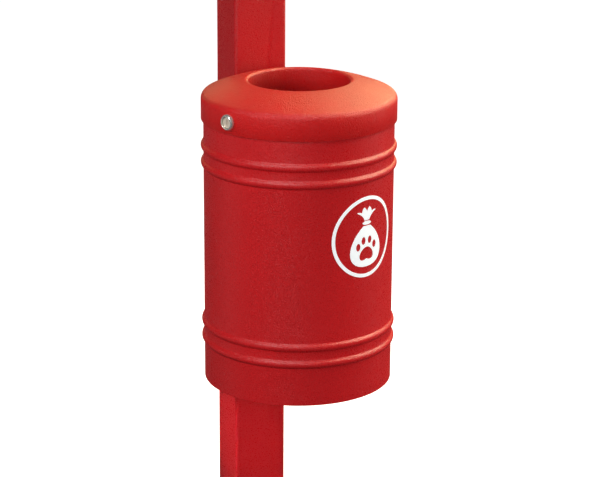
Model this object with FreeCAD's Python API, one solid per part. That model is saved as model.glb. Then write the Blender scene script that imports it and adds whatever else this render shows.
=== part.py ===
import FreeCAD, Part
import math
import os

# Post-mounted dog waste bin. Millimetres, +Z up.
# The origin is the centre of the base plate's underside, on the post's axis.
# The bin hangs on the -Y side of the post. Bin parts are drawn about the bin's own axis, with their
# heights measured from the body's bottom edge, and are moved to their place by on_bin().
# Angles round the bin are measured from its front (-Y), positive towards +X.

# Post and base
post_side = 95.0
post_wall = 3.0
post_corner_radius = 6.0
post_top_height = 1400.0
base_plate_side = 300.0
base_plate_thickness = 10.0
base_plate_corner_radius = 12.0
anchor_spacing = 240.0
anchor_hole_radius = 7.0
gusset_length = 45.0
gusset_height = 80.0
gusset_thickness = 6.0
gusset_toe = 8.0
cap_edge_height = 4.0
cap_peak_height = 9.0
cap_peak_side = 30.0
cap_plug_depth = 22.0
cap_plug_wall = 3.0
cap_plug_clearance = 0.3

# Body
body_radius = 160.0
body_height = 458.5
body_wall = 1.5
body_base_height = 560.0
rim_flange_width = 13.0
rim_bend_radius = 3.0
bead_proud = 4.5
bead_half_height = 8.5
bead_root_radius = 3.5
bead_spacing = 29.0
lower_bead_height = 72.5
upper_bead_below_rim = 50.0
floor_height = 14.0
floor_wall = 1.5
floor_bend_radius = 5.0
floor_lip_clearance = 2.0
drain_hole_radius = 4.0
drain_circle_radius = 88.0
drain_hole_count = 4

# Lid
lid_skirt_clearance = 2.5
lid_wall = 1.5
lid_overlap = 5.0
lid_skirt_height = 34.3
lid_dome_radius = 420.0
lid_shoulder_radius = 12.0
lip_roll_radius = 5.0
lip_return = 7.0
mouth_radius = 85.0
collar_length = 33.0
tab_angles = (30.0, 160.0, -112.0)
tab_width = 24.0
tab_over_buffer = 3.0
tab_leg_height = 18.0
tab_thickness = 1.5
buffer_radius = 5.0
buffer_height = 3.0
buffer_edge_margin = 0.5
rest_gap = 0.3

# Hinge
hinge_angle = 100.0
hinge_length = 50.0
hinge_knuckle_count = 5
knuckle_wall = 1.5
knuckle_gap = 0.3
hinge_pin_radius = 2.45
pin_running_clearance = 0.05
pin_head_radius = 3.4
pin_head_length = 1.2
leaf_thickness = 2.5
leaf_height = 28.0
knuckle_stand_off = 4.0
leaf_edge_gap = 1.5
rivet_spacing = 28.0
rivet_radius = 2.4
rivet_head_radius = 4.6
rivet_head_height = 2.0
rivet_clearance = 0.05
rivet_tail_radius = 3.8
rivet_tail_height = 1.4

# Lock
lock_angle = -66.0
lock_above_skirt = 20.5
lock_plug_radius = 6.5
lock_plug_face_radius = 9.0
lock_plug_face_height = 1.7
lock_running_clearance = 0.05
lock_barrel_wall = 1.45
lock_head_rim = 3.45
lock_head_height = 4.6
lock_recess_depth = 2.6
lock_seat_gap = 0.05
keyway_length = 9.0
keyway_width = 2.2
keyway_depth = 4.0
lock_nut_wall = 3.0
lock_nut_thickness = 4.0
cam_gap = 0.3
cam_flange_gap = 3.75
cam_thickness = 2.4
cam_width = 10.0
cam_end_margin = 3.0
cam_square = 6.8
cam_screw_radius = 2.1
cam_screw_length = 9.0
cam_screw_head_radius = 4.6
cam_screw_head_height = 2.6
catch_side_gap = 4.3
catch_length = 16.0
catch_thickness = 2.0
catch_gap = 1.5
catch_setback = 4.5
catch_foot_length = 7.0

# Liner
liner_clearance = 4.25
liner_wall = 1.0
liner_below_rim = 33.2
liner_rim_radius = 3.0
hand_hole_width = 95.0
hand_hole_height = 28.0
hand_hole_below_rim = 42.0

# Emblem
emblem_angle = 22.5
emblem_below_beads = 21.0
emblem_radius = 69.0
emblem_band = 6.0
vinyl_thickness = 0.4

# Mounting of the body on the post
post_gap = 18.5
saddle_bead_clearance = 18.0
saddle_inset = 5.0
saddle_height = 64.0
saddle_thickness = 3.0
bolt_spacing = 36.0
bolt_radius = 4.0
bolt_hole_radius = 4.5
bolt_head_across_flats = 13.0
bolt_head_height = 5.3
bolt_past_wall = 14.0
washer_side = 28.0
washer_thickness = 3.0
sleeve_radius = 8.0
sleeve_bore_radius = 4.4
rivet_nut_radius = 5.5
rivet_nut_length = 18.0
rivet_nut_bulge_radius = 7.5
rivet_nut_bulge_length = 4.0

# Values that follow from the ones above
post_face_radius = body_radius + post_gap
bin_offset = post_face_radius + post_side / 2.0
skirt_inner_radius = body_radius + lid_skirt_clearance
skirt_radius = skirt_inner_radius + lid_wall
skirt_bottom = body_height - lid_overlap
shoulder_centre_radius = skirt_radius - lid_shoulder_radius
shoulder_height = skirt_bottom + lid_skirt_height
dome_centre_height = shoulder_height - math.sqrt(
    (lid_dome_radius - lid_shoulder_radius) ** 2 - shoulder_centre_radius ** 2)
lip_centre_height = dome_centre_height + math.sqrt(
    (lid_dome_radius - lip_roll_radius) ** 2 - (mouth_radius + lip_roll_radius) ** 2)
lip_end_height = lip_centre_height - lip_return
flange_inner_radius = body_radius - rim_flange_width
buffer_circle_radius = flange_inner_radius + buffer_radius + buffer_edge_margin
tab_height = body_height + buffer_height + rest_gap
tab_inner_radius = buffer_circle_radius - tab_over_buffer
knuckle_radius = hinge_pin_radius + pin_running_clearance + knuckle_wall
hinge_radius = skirt_radius + knuckle_stand_off
hinge_height = skirt_bottom - knuckle_radius
lid_leaf_bottom = skirt_bottom + leaf_edge_gap
body_leaf_top = hinge_height - leaf_edge_gap
lid_rivet_height = lid_leaf_bottom + leaf_height / 2.0
body_rivet_height = body_leaf_top - leaf_height / 2.0
lock_height = skirt_bottom + lock_above_skirt
lock_seat = skirt_radius + lock_seat_gap
lock_bore_radius = lock_plug_radius + lock_running_clearance
lock_barrel_radius = lock_bore_radius + lock_barrel_wall
lock_recess_radius = lock_plug_face_radius + lock_running_clearance
lock_head_radius = lock_recess_radius + lock_head_rim
lock_nut_across_flats = 2.0 * (lock_barrel_radius + lock_nut_wall)
cam_outer_face = flange_inner_radius - cam_flange_gap
cam_inner_face = cam_outer_face - cam_thickness
lock_barrel_end = cam_outer_face + cam_gap
catch_start = lock_nut_across_flats / math.sqrt(3.0) + catch_side_gap
cam_reach = catch_start + catch_length - cam_end_margin
catch_leg_inner = cam_outer_face + catch_setback
catch_underside = lock_height + cam_width / 2.0 + catch_gap
liner_bottom = floor_height + rest_gap
liner_top = body_height - liner_below_rim
liner_rim_outer = cam_inner_face - cam_screw_head_height - liner_clearance
liner_inner_radius = liner_rim_outer - 2.0 * liner_rim_radius
liner_radius = liner_inner_radius + liner_wall
upper_bead_height = body_height - upper_bead_below_rim
bead_heights = (lower_bead_height, lower_bead_height + bead_spacing,
                upper_bead_height - bead_spacing, upper_bead_height)
plain_wall_bottom = bead_heights[1] + bead_half_height
plain_wall_top = bead_heights[2] - bead_half_height
emblem_height = plain_wall_top - emblem_below_beads - emblem_radius
saddle_width = post_side - 2.0 * saddle_inset
saddle_heights = {
    "lower_saddle_bracket": plain_wall_bottom + saddle_bead_clearance + saddle_height / 2.0,
    "upper_saddle_bracket": plain_wall_top - saddle_bead_clearance - saddle_height / 2.0}


def vec(x, y, z):
    return FreeCAD.Vector(x, y, z)


def block(x_low, x_high, y_low, y_high, z_low, z_high):
    return Part.makeBox(x_high - x_low, y_high - y_low, z_high - z_low, vec(x_low, y_low, z_low))


def upright(radius, z_low, z_high, x=0.0, y=0.0):
    return Part.makeCylinder(radius, z_high - z_low, vec(x, y, z_low))


def radial(radius, x_low, x_high, y, z):
    # A round bar along X, which points outwards in the bin's radial frame.
    return Part.makeCylinder(radius, x_high - x_low, vec(x_low, y, z), vec(1, 0, 0))


def on_bin(shape, angle=90.0):
    # Turns outward X to the given angle round the bin and moves the bin's axis to its place.
    placed = shape.copy()
    placed.rotate(vec(0, 0, 0), vec(0, 0, 1), angle - 90.0)
    placed.translate(vec(0, -bin_offset, body_base_height))
    return placed


def path_edges(start, steps):
    # A step is (r, z) for a straight line, or (r_mid, z_mid, r, z) for an arc through a middle point.
    edges = []
    here = vec(start[0], 0, start[1])
    for step in steps:
        there = vec(step[-2], 0, step[-1])
        if len(step) == 2:
            edges.append(Part.LineSegment(here, there).toShape())
        else:
            edges.append(Part.Arc(here, vec(step[0], 0, step[1]), there).toShape())
        here = there
    return edges


def turned(start, steps):
    # A closed profile in the XZ plane, turned once round the Z axis.
    profile = Part.Face(Part.Wire(path_edges(start, steps)))
    return profile.revolve(vec(0, 0, 0), vec(0, 0, 1), 360)


def rounded_square(side, radius, z):
    # The outline of a square with round corners, centred on the Z axis.
    half = side / 2.0
    flat = half - radius
    nip = radius * (1.0 - math.sqrt(0.5))
    edges = []
    for turn in range(4):
        rotation = FreeCAD.Rotation(vec(0, 0, 1), 90.0 * turn)
        corners = [(half, -flat), (half, flat), (half - nip, half - nip), (flat, half)]
        first, second, middle, third = [rotation.multVec(vec(x, y, z)) for x, y in corners]
        edges.append(Part.LineSegment(first, second).toShape())
        edges.append(Part.Arc(second, middle, third).toShape())
    return Part.Wire(edges)


def square_bar(side, radius, z_low, z_high):
    return Part.Face(rounded_square(side, radius, z_low)).extrude(vec(0, 0, z_high - z_low))


def save(name, shape):
    shape.exportStep("parts/" + name + ".step")


# ---- post ----

def bolt_heights():
    heights = []
    for centre in saddle_heights.values():
        heights += [centre - bolt_spacing / 2.0, centre + bolt_spacing / 2.0]
    return heights


def make_post():
    tube = square_bar(post_side, post_corner_radius, base_plate_thickness, post_top_height)
    bore = square_bar(post_side - 2 * post_wall, post_corner_radius - post_wall,
                      base_plate_thickness, post_top_height)
    tube = tube.cut(bore)
    for height in bolt_heights():
        hole = radial(rivet_nut_radius, post_face_radius - 1, post_face_radius + post_wall + 1, 0, height)
        tube = tube.cut(on_bin(hole, 180))
    return tube


def make_base_plate():
    plate = square_bar(base_plate_side, base_plate_corner_radius, 0, base_plate_thickness)
    half = anchor_spacing / 2.0
    for x in (-half, half):
        for y in (-half, half):
            plate = plate.cut(upright(anchor_hole_radius, -1, base_plate_thickness + 1, x, y))
    return plate


def make_base_gussets():
    low = base_plate_thickness
    inner = post_side / 2.0
    half = gusset_thickness / 2.0
    corners = [(inner, low), (inner + gusset_length, low), (inner + gusset_length, low + gusset_toe),
               (inner + gusset_toe, low + gusset_height), (inner, low + gusset_height), (inner, low)]
    outline = Part.makePolygon([vec(x, -half, z) for x, z in corners])
    gusset = Part.Face(outline).extrude(vec(0, gusset_thickness, 0))
    gussets = []
    for turn in range(4):
        copy = gusset.copy()
        copy.rotate(vec(0, 0, 0), vec(0, 0, 1), 90.0 * turn)
        gussets.append(copy)
    return Part.makeCompound(gussets)


def make_post_cap():
    edge_top = post_top_height + cap_edge_height
    brim = square_bar(post_side, post_corner_radius, post_top_height, edge_top)
    peak = Part.makeLoft([rounded_square(post_side, post_corner_radius, edge_top),
                          rounded_square(cap_peak_side, post_corner_radius,
                                         post_top_height + cap_peak_height)], True)
    plug_side = post_side - 2 * (post_wall + cap_plug_clearance)
    plug_radius = post_corner_radius - post_wall
    plug_bottom = post_top_height - cap_plug_depth
    plug = square_bar(plug_side, plug_radius, plug_bottom, post_top_height)
    hollow_side = plug_side - 2 * cap_plug_wall
    hollow = square_bar(hollow_side, plug_radius / 2.0, plug_bottom, post_top_height)
    return brim.fuse([peak, plug.cut(hollow)]).removeSplitter()


# ---- body ----

def bead_steps(height, inset, upward):
    # One swaged bead on a wall whose face is body_radius - inset. Two round roots run into a round
    # crown, and inset carries the same bead through the sheet.
    sign = 1.0 if upward else -1.0
    reach = (bead_proud ** 2 + bead_half_height ** 2) / (2.0 * bead_proud)
    crown_radius = reach - bead_root_radius
    crown_x = body_radius + bead_proud - crown_radius
    root_x = body_radius + bead_root_radius
    across = (root_x - crown_x) / reach
    along = bead_half_height / reach
    crown = crown_radius - inset
    root = bead_root_radius + inset
    meet_x = crown_x + crown * across
    meet_z = crown * along
    size = math.hypot(1.0 + across, along)
    root_mid_x = root_x - root * (1.0 + across) / size
    root_mid_z = bead_half_height - root * along / size
    return [(body_radius - inset, height - sign * bead_half_height),
            (root_mid_x, height - sign * root_mid_z, meet_x, height - sign * meet_z),
            (crown_x + crown, height, meet_x, height + sign * meet_z),
            (root_mid_x, height + sign * root_mid_z, body_radius - inset, height + sign * bead_half_height)]


def make_body_shell():
    inner = body_radius - body_wall
    bend = rim_bend_radius
    inner_bend = bend - body_wall
    bend_x = body_radius - bend
    bend_z = body_height - bend
    diagonal = math.sqrt(0.5)
    steps = []
    for height in bead_heights:
        steps += bead_steps(height, 0.0, True)
    steps += [(body_radius, bend_z),
              (bend_x + bend * diagonal, bend_z + bend * diagonal, bend_x, body_height),
              (flange_inner_radius, body_height),
              (flange_inner_radius, body_height - body_wall),
              (bend_x, body_height - body_wall),
              (bend_x + inner_bend * diagonal, bend_z + inner_bend * diagonal, inner, bend_z)]
    for height in reversed(bead_heights):
        steps += bead_steps(height, body_wall, False)
    steps += [(inner, 0), (body_radius, 0)]
    shell = on_bin(turned((body_radius, 0), steps))
    for height in bolt_heights():
        hole = radial(bolt_hole_radius, inner - 5, body_radius + 5, 0, height)
        shell = shell.cut(on_bin(hole, 180))
    for y in (-rivet_spacing / 2.0, rivet_spacing / 2.0):
        hole = radial(rivet_radius + rivet_clearance, inner - 5, body_radius + 5, y, body_rivet_height)
        shell = shell.cut(on_bin(hole, hinge_angle))
    return shell


def make_floor_pan():
    outer = body_radius - body_wall
    bend = floor_bend_radius
    inner_bend = bend - floor_wall
    bend_x = outer - bend
    bend_z = floor_height - bend
    diagonal = math.sqrt(0.5)
    pan = turned((0, floor_height - floor_wall), [
        (bend_x, floor_height - floor_wall),
        (bend_x + inner_bend * diagonal, bend_z + inner_bend * diagonal, outer - floor_wall, bend_z),
        (outer - floor_wall, floor_lip_clearance),
        (outer, floor_lip_clearance),
        (outer, bend_z),
        (bend_x + bend * diagonal, bend_z + bend * diagonal, bend_x, floor_height),
        (0, floor_height),
        (0, floor_height - floor_wall)])
    pan = pan.cut(upright(drain_hole_radius, 0, floor_height + 1))
    for index in range(drain_hole_count):
        angle = math.radians(45.0 + 360.0 * index / drain_hole_count)
        x = drain_circle_radius * math.cos(angle)
        y = drain_circle_radius * math.sin(angle)
        pan = pan.cut(upright(drain_hole_radius, 0, floor_height + 1, x, y))
    return on_bin(pan)


def make_rim_buffers():
    buffers = []
    for angle in tab_angles:
        pad = upright(buffer_radius, body_height, body_height + buffer_height, buffer_circle_radius)
        top = [edge for edge in pad.Edges if edge.BoundBox.ZMin > body_height + buffer_height - 0.1]
        pad = pad.makeFillet(buffer_height / 4.0, top)
        buffers.append(on_bin(pad, angle))
    return Part.makeCompound(buffers)


# ---- mounting ----

def make_saddle_bracket(centre):
    # A folded channel: its web lies on the post and its two flanges are cut to the body's curve.
    low = centre - saddle_height / 2.0
    high = centre + saddle_height / 2.0
    half = saddle_width / 2.0
    start = body_radius - post_gap
    channel = block(start, post_face_radius, -half, half, low, high)
    inside = block(start - 1, post_face_radius - saddle_thickness, -half + saddle_thickness,
                   half - saddle_thickness, low - 1, high + 1)
    bends = [edge for edge in channel.Edges
             if edge.BoundBox.XMin > post_face_radius - 0.1 and edge.BoundBox.ZLength > 1]
    channel = channel.makeFillet(saddle_thickness, bends).cut(inside)
    channel = channel.cut(upright(body_radius, low - 1, high + 1))
    for height in (centre - bolt_spacing / 2.0, centre + bolt_spacing / 2.0):
        channel = channel.cut(radial(bolt_hole_radius, start, post_face_radius + 1, 0, height))
    return on_bin(channel, 180)


def hexagon(across_flats, x_low, x_high, y, z):
    corner = across_flats / math.sqrt(3.0)
    points = []
    for index in range(7):
        angle = math.radians(60.0 * index)
        points.append(vec(x_low, y + corner * math.cos(angle), z + corner * math.sin(angle)))
    return Part.Face(Part.makePolygon(points)).extrude(vec(x_high - x_low, 0, 0))


def at_each_bolt(make_one):
    return Part.makeCompound([on_bin(make_one(height), 180) for height in bolt_heights()])


def mounting_bolt(height):
    seat = body_radius - body_wall - washer_thickness
    end = post_face_radius + post_wall + bolt_past_wall
    head = hexagon(bolt_head_across_flats, seat - bolt_head_height, seat, 0, height)
    shank = radial(bolt_radius, seat, end, 0, height)
    tip = [edge for edge in shank.Edges if edge.BoundBox.XMin > end - 0.1]
    return head.fuse(shank.makeChamfer(bolt_radius / 4.0, tip))


def saddle_washer(height):
    # Flat under the bolt's head and curved where it bears on the inside of the body.
    inner = body_radius - body_wall
    half = washer_side / 2.0
    plate = block(inner - washer_thickness, inner + 1, -half, half, height - half, height + half)
    plate = plate.common(upright(inner, height - half, height + half))
    return plate.cut(radial(bolt_hole_radius, inner - 10, inner + 1, 0, height))


def spacer_sleeve(height):
    end = post_face_radius - saddle_thickness
    sleeve = radial(sleeve_radius, body_radius, end, 0, height)
    return sleeve.cut(radial(sleeve_bore_radius, body_radius - 1, end + 1, 0, height))


def rivet_nut(height):
    bulge_start = post_face_radius + post_wall
    sleeve = radial(rivet_nut_radius, post_face_radius, post_face_radius + rivet_nut_length, 0, height)
    bulge = radial(rivet_nut_bulge_radius, bulge_start, bulge_start + rivet_nut_bulge_length, 0, height)
    thread = radial(bolt_radius, post_face_radius - 1, post_face_radius + rivet_nut_length + 1, 0, height)
    return sleeve.fuse(bulge).cut(thread)


# ---- lid ----

def lid_outline(inset):
    # Points of the lid's profile on the outer face moved inwards by inset, from the skirt to the lip:
    # skirt to shoulder, shoulder to dome, dome to lip, lip to mouth, with a middle point on each arc.
    shoulder = lid_shoulder_radius - inset
    lip = lip_roll_radius - inset
    lip_x = mouth_radius + lip_roll_radius
    dome = lid_dome_radius - inset
    outer_angle = math.asin(shoulder_centre_radius / (lid_dome_radius - lid_shoulder_radius))
    inner_angle = math.asin(lip_x / (lid_dome_radius - lip_roll_radius))

    def at(centre_x, centre_z, radius, angle):
        return (centre_x + radius * math.sin(angle), centre_z + radius * math.cos(angle))

    return {"skirt": (skirt_radius - inset, shoulder_height),
            "shoulder_mid": at(shoulder_centre_radius, shoulder_height, shoulder,
                               (outer_angle + math.pi / 2) / 2),
            "shoulder": at(0, dome_centre_height, dome, outer_angle),
            "dome_mid": at(0, dome_centre_height, dome, (outer_angle + inner_angle) / 2),
            "dome": at(0, dome_centre_height, dome, inner_angle),
            "lip_mid": at(lip_x, lip_centre_height, lip, (inner_angle - math.pi / 2) / 2),
            "lip": (mouth_radius + inset, lip_centre_height)}


def make_lid_shell():
    outer = lid_outline(0.0)
    inner = lid_outline(lid_wall)
    shell = turned((skirt_radius, skirt_bottom), [
        outer["skirt"],
        outer["shoulder_mid"] + outer["shoulder"],
        outer["dome_mid"] + outer["dome"],
        outer["lip_mid"] + outer["lip"],
        (mouth_radius, lip_end_height),
        (mouth_radius + lid_wall, lip_end_height),
        inner["lip"],
        inner["lip_mid"] + inner["dome"],
        inner["dome_mid"] + inner["shoulder"],
        inner["shoulder_mid"] + inner["skirt"],
        (skirt_inner_radius, skirt_bottom),
        (skirt_radius, skirt_bottom)])
    shell = shell.cut(lock_bar(lock_barrel_radius, skirt_inner_radius - 5, skirt_radius + 5))
    shell = on_bin(shell)
    for y in (-rivet_spacing / 2.0, rivet_spacing / 2.0):
        hole = radial(rivet_radius + rivet_clearance, skirt_inner_radius - 5, skirt_radius + 5, y,
                      lid_rivet_height)
        shell = shell.cut(on_bin(hole, hinge_angle))
    return shell


def lock_bar(radius, x_low, x_high):
    # A bar along the lock's axis, turned to the lock's angle but not yet moved to the bin's place.
    bar = radial(radius, x_low, x_high, 0, lock_height)
    bar.rotate(vec(0, 0, 0), vec(0, 0, 1), lock_angle - 90.0)
    return bar


def make_mouth_collar():
    bottom = lip_end_height - collar_length
    collar = upright(mouth_radius + lid_wall, bottom, lip_end_height)
    return on_bin(collar.cut(upright(mouth_radius, bottom - 1, lip_end_height + 1)))


def make_lid_rest_tabs():
    # Folded angles inside the skirt, which rest the lid on the rim's buffers.
    tabs = []
    half = tab_width / 2.0
    for angle in tab_angles:
        slab = block(0, skirt_inner_radius, -half, half, tab_height, tab_height + tab_leg_height)
        slab = slab.common(upright(skirt_inner_radius, tab_height, tab_height + tab_leg_height))
        hollow = upright(skirt_inner_radius - tab_thickness, tab_height + tab_thickness,
                         tab_height + tab_leg_height + 1)
        inside = upright(tab_inner_radius, tab_height - 1, tab_height + tab_leg_height + 1)
        tabs.append(on_bin(slab.cut(hollow).cut(inside), angle))
    return Part.makeCompound(tabs)


# ---- hinge ----

def leaf_shell(inner_radius, z_low, z_high):
    half = hinge_length / 2.0
    leaf = upright(inner_radius + leaf_thickness, z_low, z_high).cut(upright(inner_radius, z_low, z_high))
    return leaf.common(block(0, inner_radius + 10, -half, half, z_low, z_high))


def knuckle_spans(parity):
    # The stretches of the hinge line that one leaf's knuckles take, every second one.
    length = hinge_length / hinge_knuckle_count
    spans = []
    for index in range(parity, hinge_knuckle_count, 2):
        low = -hinge_length / 2.0 + index * length
        low_gap = 0.0 if index == 0 else knuckle_gap / 2.0
        high_gap = 0.0 if index == hinge_knuckle_count - 1 else knuckle_gap / 2.0
        spans.append((low + low_gap, low + length - high_gap))
    return spans


def along_hinge(radius, y_low, y_high):
    return Part.makeCylinder(radius, y_high - y_low, vec(hinge_radius, y_low, hinge_height), vec(0, 1, 0))


def rivet_holes(x_low, x_high, height):
    return [radial(rivet_radius + rivet_clearance, x_low, x_high, y, height)
            for y in (-rivet_spacing / 2.0, rivet_spacing / 2.0)]


def make_hinge_body_leaf():
    leaf = leaf_shell(body_radius, body_leaf_top - leaf_height, body_leaf_top)
    for low, high in knuckle_spans(0):
        neck = block(body_radius - 5, hinge_radius, low, high, hinge_height - knuckle_radius, body_leaf_top)
        neck = neck.cut(upright(body_radius, hinge_height - 10, hinge_height + 10))
        leaf = leaf.fuse([along_hinge(knuckle_radius, low, high), neck])
    leaf = leaf.cut(along_hinge(hinge_pin_radius, -hinge_length, hinge_length))
    for hole in rivet_holes(body_radius - 5, body_radius + 5, body_rivet_height):
        leaf = leaf.cut(hole)
    return on_bin(leaf.removeSplitter(), hinge_angle)


def make_hinge_lid_leaf():
    leaf = leaf_shell(skirt_radius, lid_leaf_bottom, lid_leaf_bottom + leaf_height)
    for low, high in knuckle_spans(1):
        neck = block(skirt_radius + 0.2, skirt_radius + 3.0, low, high, hinge_height, lid_leaf_bottom + 3.0)
        leaf = leaf.fuse([along_hinge(knuckle_radius, low, high), neck])
    leaf = leaf.cut(along_hinge(hinge_pin_radius + pin_running_clearance, -hinge_length, hinge_length))
    for hole in rivet_holes(skirt_radius - 5, skirt_radius + 5, lid_rivet_height):
        leaf = leaf.cut(hole)
    return on_bin(leaf.removeSplitter(), hinge_angle)


def make_hinge_pin():
    half = hinge_length / 2.0
    pin = along_hinge(hinge_pin_radius, -half, half)
    heads = [along_hinge(pin_head_radius, half, half + pin_head_length),
             along_hinge(pin_head_radius, -half - pin_head_length, -half)]
    return on_bin(pin.fuse(heads), hinge_angle)


def make_hinge_rivets(leaf_inner_radius, wall, height):
    # Domed heads on the leaf, and set tails inside the wall that the leaf lies on.
    rivets = []
    for y in (-rivet_spacing / 2.0, rivet_spacing / 2.0):
        seat = math.sqrt((leaf_inner_radius + leaf_thickness) ** 2 - (abs(y) - rivet_head_radius) ** 2)
        inside = math.sqrt((leaf_inner_radius - wall) ** 2 - (abs(y) + rivet_head_radius) ** 2)
        shank = radial(rivet_radius, inside, seat, y, height)
        tail = radial(rivet_tail_radius, inside - rivet_tail_height, inside, y, height)
        ball_radius = (rivet_head_radius ** 2 + rivet_head_height ** 2) / (2.0 * rivet_head_height)
        ball = Part.makeSphere(ball_radius, vec(seat + rivet_head_height - ball_radius, y, height))
        head = ball.common(radial(ball_radius, seat, seat + rivet_head_height + 1, y, height))
        rivets.append(on_bin(shank.fuse([tail, head]), hinge_angle))
    return Part.makeCompound(rivets)


# ---- lock ----

def turned_on_lock(start, steps):
    # A profile of (distance from the bin's axis, radius) turned round the lock's axis.
    edges = path_edges(start, steps)
    profile = Part.Face(Part.Wire(edges))
    solid = profile.revolve(vec(0, 0, 0), vec(1, 0, 0), 360)
    solid.translate(vec(0, 0, lock_height))
    return solid


def make_lock_barrel():
    face = lock_seat + lock_head_height
    recess_floor = face - lock_recess_depth
    barrel = turned_on_lock((lock_barrel_end, lock_bore_radius), [
        (lock_barrel_end, lock_barrel_radius),
        (lock_seat, lock_barrel_radius),
        (lock_seat, lock_head_radius),
        (lock_seat + 1.0, lock_head_radius),
        (face - 1.2, lock_head_radius - 1.1, face, lock_head_radius - 2.6),
        (face - 0.4, lock_recess_radius),
        (recess_floor, lock_recess_radius),
        (recess_floor, lock_bore_radius),
        (lock_barrel_end, lock_bore_radius)])
    return on_bin(barrel, lock_angle)


def make_lock_nut():
    outer = math.sqrt(skirt_inner_radius ** 2 - lock_nut_across_flats ** 2 / 3.0) - 0.05
    nut = hexagon(lock_nut_across_flats, outer - lock_nut_thickness, outer, 0, lock_height)
    return on_bin(nut.cut(radial(lock_barrel_radius, outer - 10, outer + 1, 0, lock_height)), lock_angle)


def make_lock_plug():
    floor = lock_seat + lock_head_height - lock_recess_depth + lock_running_clearance
    face = floor + lock_plug_face_height
    stem_end = cam_outer_face + 0.05
    plug = radial(lock_plug_radius, stem_end, floor, 0, lock_height)
    disc = radial(lock_plug_face_radius, floor, face, 0, lock_height)
    half = cam_square / 2.0
    tang = block(cam_inner_face, stem_end, -half, half, lock_height - half, lock_height + half)
    keyway = block(face - keyway_depth, face + 1, -keyway_width / 2.0, keyway_width / 2.0,
                   lock_height - keyway_length / 2.0, lock_height + keyway_length / 2.0)
    screw_hole = radial(cam_screw_radius, cam_inner_face - 1, cam_inner_face + cam_screw_length, 0,
                        lock_height)
    return on_bin(plug.fuse([disc, tang]).cut(keyway).cut(screw_hole), lock_angle)


def make_lock_cam():
    # Hangs straight down when the lock is open and turns a quarter to go under the catch.
    half = cam_width / 2.0
    plate = block(cam_inner_face, cam_outer_face, -half, half, lock_height - cam_reach, lock_height)
    tip = [edge for edge in plate.Edges
           if edge.BoundBox.ZMax < lock_height - cam_reach + 0.1 and edge.BoundBox.XLength > 1]
    plate = plate.makeFillet(half / 2.0, tip)
    eye = radial(lock_barrel_radius, cam_inner_face, cam_outer_face, 0, lock_height)
    square = cam_square / 2.0
    hole = block(cam_inner_face - 1, cam_outer_face + 1, -square, square,
                 lock_height - square, lock_height + square)
    return on_bin(plate.fuse(eye).removeSplitter().cut(hole), lock_angle)


def make_lock_cam_screw():
    head = radial(cam_screw_head_radius, cam_inner_face - cam_screw_head_height, cam_inner_face, 0,
                  lock_height)
    rim = [edge for edge in head.Edges if edge.BoundBox.XMax < cam_inner_face - 0.1]
    head = head.makeFillet(cam_screw_head_height / 2.0, rim)
    shank = radial(cam_screw_radius, cam_inner_face, cam_inner_face + cam_screw_length - 1.0, 0,
                   lock_height)
    return on_bin(head.fuse(shank), lock_angle)


def make_lock_catch():
    # A bracket on the rim's flange whose top edge folds over the lock's tongue.
    high = catch_underside + catch_thickness
    end = catch_start + catch_length
    leg_outer = catch_leg_inner + catch_thickness
    leg = block(catch_leg_inner, leg_outer, catch_start, end, body_height, high)
    ledge = block(cam_inner_face - 1.0, leg_outer, catch_start, end, catch_underside, high)
    foot = block(catch_leg_inner, catch_leg_inner + catch_foot_length, catch_start, end,
                 body_height, body_height + catch_thickness)
    return on_bin(leg.fuse([ledge, foot]).removeSplitter(), lock_angle)


# ---- liner ----

def make_liner_bucket():
    bucket = upright(liner_radius, liner_bottom, liner_top)
    bucket = bucket.cut(upright(liner_inner_radius, liner_bottom + liner_wall, liner_top + 1))
    rim = Part.makeTorus(liner_inner_radius + liner_rim_radius, liner_rim_radius, vec(0, 0, liner_top))
    bucket = bucket.fuse(rim)
    height = liner_top - hand_hole_below_rim
    reach = (hand_hole_width - hand_hole_height) / 2.0
    radius = hand_hole_height / 2.0
    across = 2.0 * liner_radius
    slot = block(-across, across, -reach, reach, height - radius, height + radius)
    ends = [radial(radius, -across, across, y, height) for y in (-reach, reach)]
    return on_bin(bucket.cut(slot.fuse(ends)))


# ---- emblem ----

def across_body(arc_length):
    # Distance along the wall, measured round the curve, as a width seen straight on.
    return body_radius * math.sin(arc_length / body_radius)


def oval_bar(half_round, half_up, y, z):
    # A bar along X that cuts the wall in a shape half_round wide along the curve and half_up high.
    middle = across_body(y)
    left = across_body(y - half_round)
    right = across_body(y + half_round)
    outline = Part.Circle(vec(body_radius - 60, 0, 0), vec(1, 0, 0), 1.0).toShape()
    stretch = FreeCAD.Matrix()
    stretch.A22 = (right - left) / 2.0
    stretch.A33 = half_up
    face = Part.Face(Part.Wire([outline.transformGeometry(stretch)]))
    bar = face.extrude(vec(80, 0, 0))
    bar.translate(vec(0, middle, z + emblem_height))
    return bar


def outline_bar(right_half):
    # A bar along X from the right half of an outline, mirrored to the left. Each run goes on from the last,
    # from the bottom's middle to the top's: two (round the curve, up) points are a line, four a Bezier curve.
    left_half = [[(-y, z) for y, z in reversed(run)] for run in reversed(right_half)]
    edges = []
    for run in right_half + left_half:
        curve = Part.BezierCurve()
        curve.setPoles([vec(body_radius - 60, across_body(y), z + emblem_height) for y, z in run])
        edges.append(curve.toShape())
    return Part.Face(Part.Wire(edges)).extrude(vec(80, 0, 0))


def vinyl(bar):
    reach = emblem_radius + 10
    skin = upright(body_radius + vinyl_thickness, emblem_height - reach, emblem_height + reach)
    skin = skin.cut(upright(body_radius, emblem_height - reach - 1, emblem_height + reach + 1))
    return on_bin(bar.common(skin), emblem_angle)


def make_emblem_ring():
    inner = emblem_radius - emblem_band
    return vinyl(oval_bar(emblem_radius, emblem_radius, 0, 0).cut(oval_bar(inner, inner, 0, 0)))


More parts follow.
